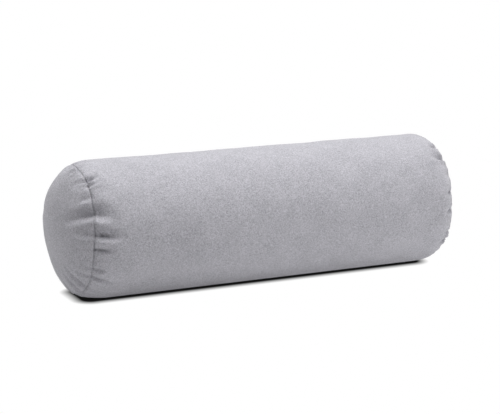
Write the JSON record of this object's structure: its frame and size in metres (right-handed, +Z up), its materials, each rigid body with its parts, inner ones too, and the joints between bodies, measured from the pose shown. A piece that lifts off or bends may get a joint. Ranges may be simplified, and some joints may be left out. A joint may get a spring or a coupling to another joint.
{
  "type": "bolster pillow",
  "caption": "Round bolster pillow lying on its slightly flattened side, with a stuffed inner cushion in a sewn fabric cover that has domed ends and a zip along its back.",
  "frame": {"origin": "on the floor under the middle of the bolster, at the bottom centre of its box", "axes": "+X along the bolster, towards the end where the zip's slider rests closed; +Y towards the back, where the zip is; +Z up"},
  "size_m": [0.654, 0.2066, 0.1978],
  "materials": {
    "cover_fabric": "brushed grey melange weave, matt",
    "cover_thread": "grey polyester sewing thread",
    "zip_tape": "grey woven herringbone tape",
    "zip_nylon": "dyed grey nylon, slightly glossy",
    "zip_metal": "satin nickel plating",
    "label_satin": "blank white satin ribbon",
    "liner_cotton": "unbleached plain-weave cotton",
    "liner_thread": "white sewing thread",
    "filling_fibre": "loose white polyester fibre"
  },
  "bodies": {
    "bolster": {"cover_body_panel": "cover_fabric", "cover_end_panel_left": "cover_fabric", "cover_end_panel_right": "cover_fabric", "cover_end_seam_thread_left": "cover_thread", "cover_end_seam_thread_right": "cover_thread", "back_seam_thread_left": "cover_thread", "back_seam_thread_right": "cover_thread", "zip_topstitch": "cover_thread", "zip_tape_upper": "zip_tape", "zip_tape_lower": "zip_tape", "zip_coil_upper": "zip_nylon", "zip_coil_lower": "zip_nylon", "zip_top_stop_upper": "zip_metal", "zip_top_stop_lower": "zip_metal", "zip_bottom_stop": "zip_metal", "care_label": "label_satin", "liner_body_panel": "liner_cotton", "liner_end_panel_left": "liner_cotton", "liner_end_panel_right": "liner_cotton", "liner_end_seam_thread_left": "liner_thread", "liner_end_seam_thread_right": "liner_thread", "liner_closing_thread": "liner_thread", "filling": "filling_fibre"},
    "slider": {"zip_slider": "zip_metal"},
    "pull_tab": {"zip_pull_tab": "zip_metal"}
  },
  "joints": [
    {"name": "slider_slide", "type": "slide", "parent": "bolster", "child": "slider", "axis": [-1, 0, 0], "range_m": [0, 0.442], "deforming": ["zip_coil_upper", "zip_coil_lower"]},
    {"name": "pull_tab_pivot", "type": "hinge", "parent": "slider", "child": "pull_tab", "pos_m": [0.2223, 0.09755, 0.14006], "axis": [0, 0.4203, -0.9074], "range_deg": [0, 180]}
  ]
}
